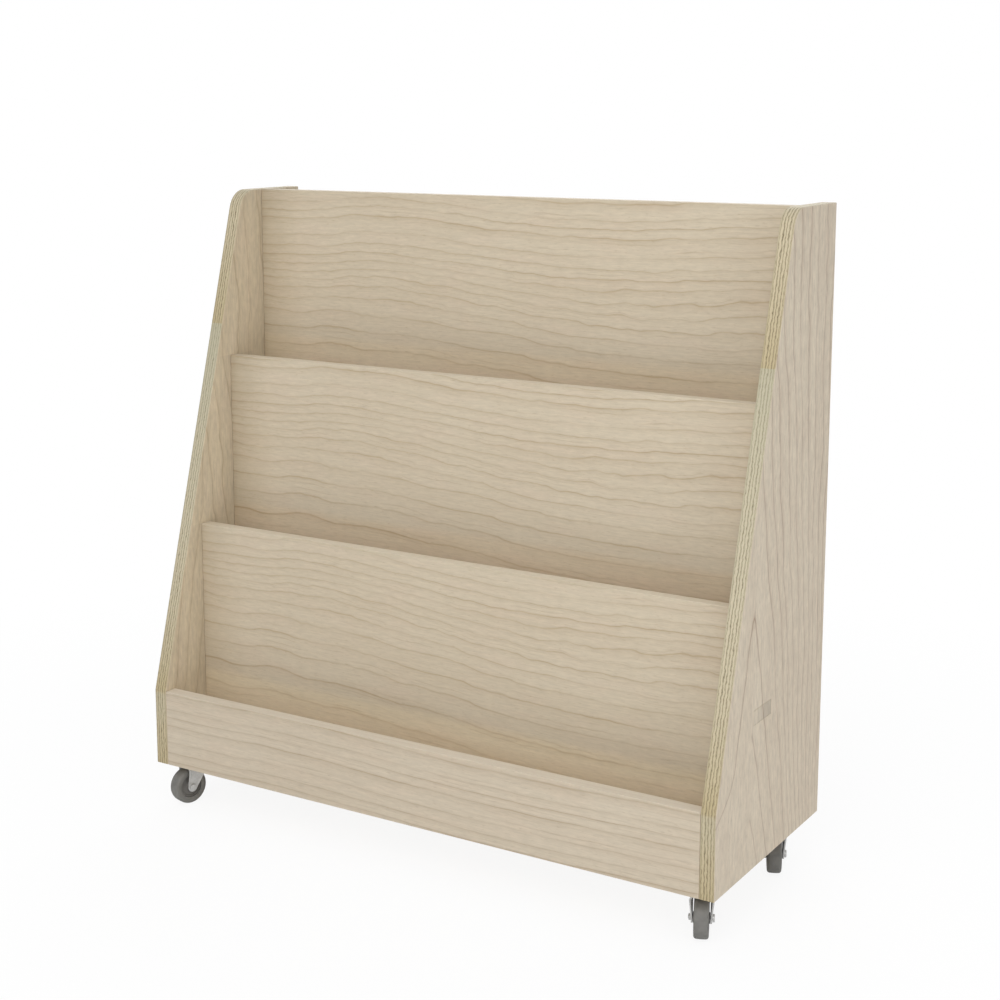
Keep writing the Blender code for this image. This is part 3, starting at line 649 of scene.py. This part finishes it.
def pan_head_screw(low, tip):
    """Screw with its head's crown at low and its point at tip."""
    head = SCREW_HEAD_RADIUS
    shank = SCREW_SHANK_RADIUS
    seat = low + SCREW_HEAD_HEIGHT
    edge_middle = (head - SCREW_HEAD_ROUND, low + SCREW_HEAD_CROWN + SCREW_HEAD_ROUND)
    edge = round_corner(edge_middle, SCREW_HEAD_ROUND, -80, 0, 5)
    profile = [(0, low), (head * 0.45, low + 0.1 * SCREW_HEAD_CROWN), *edge, (head, seat)]
    profile += [(shank, seat), (shank, tip - SCREW_POINT), (0, tip)]
    screw = revolved("plate_screw", profile, 32)
    blank = bpy.data.objects.new("screw_blank", screw)
    bpy.context.scene.collection.objects.link(blank)
    bm = bmesh.new()
    for reach in ((RECESS_REACH, RECESS_WIDTH / 2), (RECESS_WIDTH / 2, RECESS_REACH)):
        made = bmesh.ops.create_cube(bm, size=2.0)["verts"]
        bmesh.ops.scale(bm, vec=(*reach, RECESS_DEPTH), verts=made)
        bmesh.ops.translate(bm, vec=(0, 0, low), verts=made)
    cross = bpy.data.meshes.new("recess")
    bm.to_mesh(cross)
    bm.free()
    cutter = bpy.data.objects.new("recess", cross)
    bpy.context.scene.collection.objects.link(cutter)
    cut = blank.modifiers.new("recess", "BOOLEAN")
    cut.operation = "DIFFERENCE"
    cut.solver = "EXACT"
    cut.use_self = True
    cut.object = cutter
    depsgraph = bpy.context.evaluated_depsgraph_get()
    recessed = bpy.data.meshes.new_from_object(blank.evaluated_get(depsgraph))
    bpy.data.objects.remove(blank)
    bpy.data.objects.remove(cutter)
    return smoothed(recessed)


first_low, first_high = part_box("front_left_plate_screw_1")
screw_mesh = pan_head_screw(first_low.z, first_high.z)
for corner in CORNERS:
    for number in range(1, 5):
        node = f"{corner}_plate_screw_{number}"
        low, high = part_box(node)
        spot = Matrix.Translation(((low.x + high.x) / 2, (low.y + high.y) / 2, 0))
        place_piece(node + "_pan_head", screw_mesh, steel, spot, "carcass", node)

# Forks. Each is pressed from one blank of zinc-plated sheet steel: two legs that narrow to
# the axle, with their edges turned out as ribs, under a crown that carries the swivel head.

WHEEL_RADIUS = 0.0235
TRAIL = 0.028
FORK_STEEL = 0.0018
LEG_MIDDLE_X = 0.0108
CROWN_MIDDLE_Z = 0.0511
BEND_MIDDLE = 0.0021
LEG_END = 0.0065
LEG_FRONT_TOP = (-0.0329, 0.0502)
LEG_BACK_TOP = (-0.004, 0.0502)
SKIRT_Z = 0.0462
TAIL_Y = 0.008
RIB_RISE = 0.0026
RIB_REACH = 0.0036
RIB_FADE = 0.0028
SKIRT_BLEND = 0.002
BLANKED_EDGE = 0.0004
HEAD_RADIUS = 0.0145
HEAD_BORE = 0.0043
HEAD_ROUND = 0.0008


def leg_span(z):
    """Front and back edge of the fork at a height, in its own side view."""
    drop = WHEEL_RADIUS - z
    half_round = math.sqrt(max(LEG_END ** 2 - drop ** 2, 0.0))
    run = Vector((LEG_BACK_TOP[0] + TRAIL, LEG_BACK_TOP[1] - WHEEL_RADIUS)).normalized()
    touch = Vector((-TRAIL + run.y * LEG_END, WHEEL_RADIUS - run.x * LEG_END))
    if z < WHEEL_RADIUS:
        front = -TRAIL - half_round
    else:
        share = min((z - WHEEL_RADIUS) / (LEG_FRONT_TOP[1] - WHEEL_RADIUS), 1.0)
        front = -TRAIL - LEG_END + share * (LEG_FRONT_TOP[0] + TRAIL + LEG_END)
    if z < touch.y:
        back = -TRAIL + half_round
    else:
        share = min(z, SKIRT_Z) - touch.y
        back = touch.x + share * (LEG_BACK_TOP[0] - touch.x) / (LEG_BACK_TOP[1] - touch.y)
        if z > SKIRT_Z:
            back += (TAIL_Y - back) * min((z - SKIRT_Z) / SKIRT_BLEND, 1.0)
    return front, back


def fork_pressing():
    """Sheet through the middle of the steel: up one leg, over the crown, down the other."""
    bend_z = CROWN_MIDDLE_Z - BEND_MIDDLE
    bend_x = LEG_MIDDLE_X - BEND_MIDDLE
    foot = [WHEEL_RADIUS - LEG_END * math.cos(math.radians(a)) for a in range(10, 91, 10)]
    heights = foot + [WHEEL_RADIUS + k * (SKIRT_Z - WHEEL_RADIUS) / 12 for k in range(1, 13)]
    heights += [SKIRT_Z + SKIRT_BLEND / 2, SKIRT_Z + SKIRT_BLEND, bend_z]
    half = [(-LEG_MIDDLE_X, z) for z in heights]
    half += round_corner((-bend_x, bend_z), BEND_MIDDLE, 180, 90, 6)[1:]
    half += [(-bend_x * k / 4, CROWN_MIDDLE_Z) for k in (3, 2, 1)]
    path = half + [(0.0, CROWN_MIDDLE_Z)] + [(-x, z) for x, z in reversed(half)]
    shares = [0, 0.03, 0.07, 0.12, 0.2, 0.32, 0.5, 0.68, 0.8, 0.88, 0.93, 0.97, 1]
    bm = bmesh.new()
    rows = []
    for x, z in path:
        front, back = leg_span(z)
        climb = max(0.0, min((z - WHEEL_RADIUS) / (SKIRT_Z - WHEEL_RADIUS), 1.0))
        ending = max(0.0, 1.0 - max(z - SKIRT_Z, 0.0) / RIB_FADE)
        row = []
        for share in shares:
            y = front + share * (back - front)
            inside = min(min(y - front, back - y) / RIB_REACH, 1.0)
            lift = (1 - inside * inside * (3 - 2 * inside)) * RIB_RISE * climb * ending
            outward = math.copysign(lift, x) if abs(x) > bend_x else 0.0
            row.append(bm.verts.new((x + outward, y, z)))
        rows.append(row)
    for low, high in zip(rows, rows[1:]):
        for k in range(len(shares) - 1):
            bm.faces.new((low[k], low[k + 1], high[k + 1], high[k]))
    bmesh.ops.recalc_face_normals(bm, faces=bm.faces)
    mesh = bpy.data.meshes.new("fork_pressing")
    bm.to_mesh(mesh)
    bm.free()
    return smoothed(mesh)


def swivel_head():
    """Turned race on the crown, with a rounded rim and a shallow groove for the balls."""
    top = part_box("front_left_fork")[1].z
    low = CROWN_MIDDLE_Z
    rim = round_corner((HEAD_RADIUS - HEAD_ROUND, top - HEAD_ROUND), HEAD_ROUND, 0, 90, 5)
    groove = [(0.0112, top), (0.0104, top - 0.0004), (0.0090, top - 0.0004), (0.0082, top)]
    profile = [(HEAD_BORE, low), (HEAD_RADIUS, low), *rim, *groove, (HEAD_BORE, top)]
    return revolved("swivel_head", profile, 56, closed=True)


joints = {joint["name"]: joint for joint in frame["joints"]}


def caster_turn(corner):
    """Swivel angle at rest, from the axle's direction."""
    axis = joints[corner + "_roll"]["axis"]
    return Matrix.Rotation(math.atan2(axis[1], axis[0]), 4, "Z")


fork_mesh = fork_pressing()
head_mesh = swivel_head()
for corner in CORNERS:
    x, y, _ = joints[corner + "_swivel"]["pos_m"]
    seat = Matrix.Translation((x, y, 0)) @ caster_turn(corner)
    body = corner + "_caster"
    node = corner + "_fork"
    pressing = place_piece(node + "_pressing", fork_mesh, zinc, seat, body, node)
    sheet = pressing.modifiers.new("sheet_steel", "SOLIDIFY")
    sheet.thickness = FORK_STEEL
    sheet.offset = 0.0
    sheet.use_even_offset = True
    edge = pressing.modifiers.new("blanked_edge", "BEVEL")
    edge.width = BLANKED_EDGE
    edge.segments = 2
    edge.limit_method = "ANGLE"
    edge.angle_limit = math.radians(50)
    place_piece(node + "_head", head_mesh, zinc, seat, body, node)

# Wheels. A moulded grey centre with a hub runs on the axle, and a grey rubber tyre with round
# shoulders is stretched over its rim.


def moulded_finish(name, light, dark, roughness):
    """Grey moulding, a little cloudy, with a fine matt skin."""
    material, tree, shader = new_material(name, roughness, specular=0.3)
    where = tree.nodes.new("ShaderNodeTexCoord").outputs["Object"]
    cloud = wire(tree, "ShaderNodeTexNoise", where, None, 90.0, 3.0, 0.6)
    grain = wire(tree, "ShaderNodeTexNoise", where, None, 1800.0, 2.0, 0.5)
    colour = mixed(tree, spread(tree, cloud, 0.3, 0.7, 0.0, 1.0), dark, light)
    tree.links.new(colour, shader.inputs["Base Color"])
    rough = spread(tree, grain, 0.3, 0.7, roughness - 0.06, roughness + 0.06)
    tree.links.new(rough, shader.inputs["Roughness"])
    emboss(tree, shader, grain, 0.15, 0.0001)
    return material


TYRE_HALF = 0.0085
TYRE_ROUND = 0.0032
TREAD_CAMBER = 0.00015
BEAD_RADIUS = 0.0150
BEAD_HALF = 0.0077
HUB_RADIUS = 0.0065
HUB_HALF = 0.0096
HUB_BORE = 0.0025


def mirrored(half):
    """A half profile and its mirror image, as one closed run."""
    return half + [(radius, -place) for radius, place in reversed(half)]


def tyre():
    """Cambered tread, round shoulders and a bead on the rim."""
    tread = WHEEL_RADIUS - TREAD_CAMBER
    shoulder = round_corner((tread - TYRE_ROUND, TYRE_HALF - TYRE_ROUND), TYRE_ROUND, 5, 90, 7)
    wall = [(BEAD_RADIUS + 0.0022, TYRE_HALF - 0.0001), (BEAD_RADIUS + 0.0009, TYRE_HALF - 0.0003)]
    half = [(WHEEL_RADIUS, 0.0012), (WHEEL_RADIUS - TREAD_CAMBER / 3, 0.0035), *shoulder, *wall]
    half.append((BEAD_RADIUS, BEAD_HALF))
    return revolved("tyre", mirrored(half), 72, closed=True)


def wheel_centre():
    """Rim with a lip, a thin disc and a hub that stands proud of it."""
    rim = BEAD_RADIUS - 0.0003
    lip = round_corner((rim - 0.0006, 0.0063), 0.0006, 0, 90, 3)
    inner_lip = round_corner((rim - 0.0014, 0.0063), 0.0006, 90, 170, 3)
    half = [*lip, *inner_lip, (rim - 0.0024, 0.0057), (HUB_RADIUS + 0.0012, 0.0057)]
    half += [(HUB_RADIUS + 0.0004, 0.0061), (HUB_RADIUS, 0.0068)]
    half += [(HUB_RADIUS - 0.0002, HUB_HALF - 0.0003), (HUB_RADIUS - 0.0006, HUB_HALF)]
    half.append((HUB_BORE, HUB_HALF))
    return revolved("wheel_centre", mirrored(half), 64, closed=True)


rubber = moulded_finish("grey_rubber", srgb(128, 127, 124), srgb(116, 115, 112), 0.66)
plastic = moulded_finish("grey_plastic", srgb(113, 111, 108), srgb(103, 101, 98), 0.5)
tyre_mesh = tyre()
centre_mesh = wheel_centre()
ALONG_X = Matrix.Rotation(math.radians(90), 4, "Y")


def axle_place(corner):
    """Place of a wheel's axle, for a piece that was turned about Z."""
    return Matrix.Translation(joints[corner + "_roll"]["pos_m"]) @ caster_turn(corner) @ ALONG_X


for corner in CORNERS:
    axle = axle_place(corner)
    body = corner + "_wheel"
    node = corner + "_wheel_core"
    place_piece(node + "_moulding", centre_mesh, plastic, axle, body, node)
    node = corner + "_tyre"
    place_piece(node + "_ring", tyre_mesh, rubber, axle, body, node)

# Axles. Each is a bright steel bolt with a flat round head on one leg and a hexagon nut on the
# other, drawn up against the fork.

AXLE_RADIUS = 0.0022
AXLE_SEAT = 0.0120
HEAD_HEIGHT = 0.0026
NUT_FLATS = 0.0070
NUT_HEIGHT = 0.0024


def axle_bolt(head_radius):
    """Bolt about Z, with its head's seat and its nut's seat the same way from the middle."""
    top = AXLE_SEAT + HEAD_HEIGHT
    tail = -(AXLE_SEAT + NUT_HEIGHT + 0.0005)
    rim = round_corner((head_radius - 0.0007, top - 0.0007), 0.0007, 0, 80, 5)
    profile = [(0, tail), (AXLE_RADIUS - 0.0005, tail), (AXLE_RADIUS, tail + 0.0005)]
    profile += [(AXLE_RADIUS, AXLE_SEAT), (head_radius, AXLE_SEAT), *rim, (0, top)]
    return revolved("axle_bolt", profile, 48)


def axle_nut():
    """Hexagon nut with its outer corners and its bore's mouth broken."""
    corner = NUT_FLATS / 2 / math.cos(math.pi / 6)
    bore = AXLE_RADIUS + 0.0003
    end = -AXLE_SEAT - NUT_HEIGHT
    profile = [(corner * 0.93, end), (corner, end + 0.0003), (corner, -AXLE_SEAT)]
    profile += [(bore, -AXLE_SEAT), (bore, end + 0.0002), (AXLE_RADIUS + 0.0005, end)]
    return revolved("axle_nut", profile, 6, closed=True)


bolt_low, bolt_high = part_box("front_left_axle_bolt")
bolt_mesh = axle_bolt((bolt_high.z - bolt_low.z) / 2)
nut_mesh = axle_nut()
for corner in CORNERS:
    axle = axle_place(corner)
    body = corner + "_caster"
    node = corner + "_axle_bolt"
    place_piece(node + "_turned", bolt_mesh, steel, axle, body, node)
    node = corner + "_axle_nut"
    place_piece(node + "_hexagon", nut_mesh, steel, axle, body, node)

# Studio. A white floor and a white surround that lights from overhead, a large soft lamp in
# front, a smaller one on the right and one behind for the open back.

bpy.context.scene.view_settings.view_transform = "Standard"


def seen_directly(tree):
    """1 where the eye, a mirror or clear glass looks, 0 where the surface lights the object."""
    path = tree.nodes.new("ShaderNodeLightPath").outputs
    first = sums(tree, "MAXIMUM", path["Is Camera Ray"], path["Is Glossy Ray"])
    return sums(tree, "MAXIMUM", first, path["Is Transmission Ray"])


FLOOR_REACH = 6.0
FLOOR_GLOW = 0.90
GLOW_START = 0.45
GLOW_END = 1.3
floor_mesh = bpy.data.meshes.new("floor")
bm = bmesh.new()
bmesh.ops.create_grid(bm, x_segments=1, y_segments=1, size=FLOOR_REACH)
bm.to_mesh(floor_mesh)
bm.free()
floor = bpy.data.objects.new("floor", floor_mesh)
bpy.context.scene.collection.objects.link(floor)
floor_material = bpy.data.materials.new("white_floor")
floor_material.use_nodes = True
tree = floor_material.node_tree
tree.nodes.remove(tree.nodes["Principled BSDF"])
paint = wire(tree, "ShaderNodeBsdfDiffuse", (0.96, 0.96, 0.96, 1.0))
glow = wire(tree, "ShaderNodeEmission", (1.0, 1.0, 1.0, 1.0), 1.0)
where = tree.nodes.new("ShaderNodeTexCoord").outputs["Object"]
away = wire(tree, "ShaderNodeVectorMath", where, operation="LENGTH", output="Value")
glow_share = spread(tree, away, GLOW_START, GLOW_END, FLOOR_GLOW, 1.0)
share = sums(tree, "MULTIPLY", seen_directly(tree), glow_share)
white = wire(tree, "ShaderNodeMixShader", share, paint, glow)
tree.links.new(white, tree.nodes["Material Output"].inputs["Surface"])
floor_mesh.materials.append(floor_material)

SKY_LIGHT = 1.05
world = bpy.data.worlds.new("studio")
world.use_nodes = True
bpy.context.scene.world = world
tree = world.node_tree
sky = tree.nodes["Background"]
direction = tree.nodes.new("ShaderNodeTexCoord").outputs["Generated"]
overhead = sums(tree, "MAXIMUM", wire(tree, "ShaderNodeSeparateXYZ", direction, output=2), 0.0)
level = scaled(tree, sums(tree, "MULTIPLY", overhead, overhead), SKY_LIGHT)
light = shaded(tree, (0.95, 1.0, 1.06, 1.0), level)
direct = seen_directly(tree)
tree.links.new(mixed(tree, direct, light, (1.0, 1.0, 1.0, 1.0)), sky.inputs["Color"])


CASE_MIDDLE = Vector((0.0, 0.0, 0.4))


def soft_lamp(name, size, power, colour, place):
    """Round lamp that looks at the middle of the case."""
    data = bpy.data.lights.new(name, "AREA")
    data.shape = "DISK"
    data.size = size
    data.energy = power
    data.color = colour
    lamp = bpy.data.objects.new(name, data)
    lamp.location = place
    aim = CASE_MIDDLE - lamp.location
    lamp.rotation_euler = aim.to_track_quat("-Z", "Y").to_euler()
    bpy.context.scene.collection.objects.link(lamp)


soft_lamp("front_lamp", 3.2, 68.0, (1.0, 0.97, 0.92), (0.6, -2.8, 2.3))
soft_lamp("side_lamp", 2.0, 15.5, (1.0, 0.98, 0.95), (2.7, -1.0, 1.2))
soft_lamp("back_lamp", 3.2, 40.0, (1.0, 0.98, 0.95), (-0.9, 2.8, 1.7))

# Camera at the photograph's place, angle and framing.

EYE = Vector((1.15557, -1.86090, 0.92547))
EYE_TURN = math.radians(32.4705)
EYE_DROP = math.radians(9.7378)
EYE_ROLL = math.radians(-0.1871)
forward = Vector((
    -math.sin(EYE_TURN) * math.cos(EYE_DROP),
    math.cos(EYE_TURN) * math.cos(EYE_DROP),
    -math.sin(EYE_DROP),
))
right = Vector((math.cos(EYE_TURN), math.sin(EYE_TURN), 0.0))
right.rotate(Matrix.Rotation(-EYE_ROLL, 3, forward))
up = right.cross(forward)
camera_data = bpy.data.cameras.new("camera")
camera_data.sensor_width = 36.0
camera_data.lens = 65.08
camera_data.shift_x = 0.04495
camera_data.shift_y = -0.0947
camera = bpy.data.objects.new("camera", camera_data)
camera.matrix_world = Matrix((right, up, -forward)).transposed().to_4x4()
camera.location = EYE
bpy.context.scene.collection.objects.link(camera)
bpy.context.scene.camera = camera
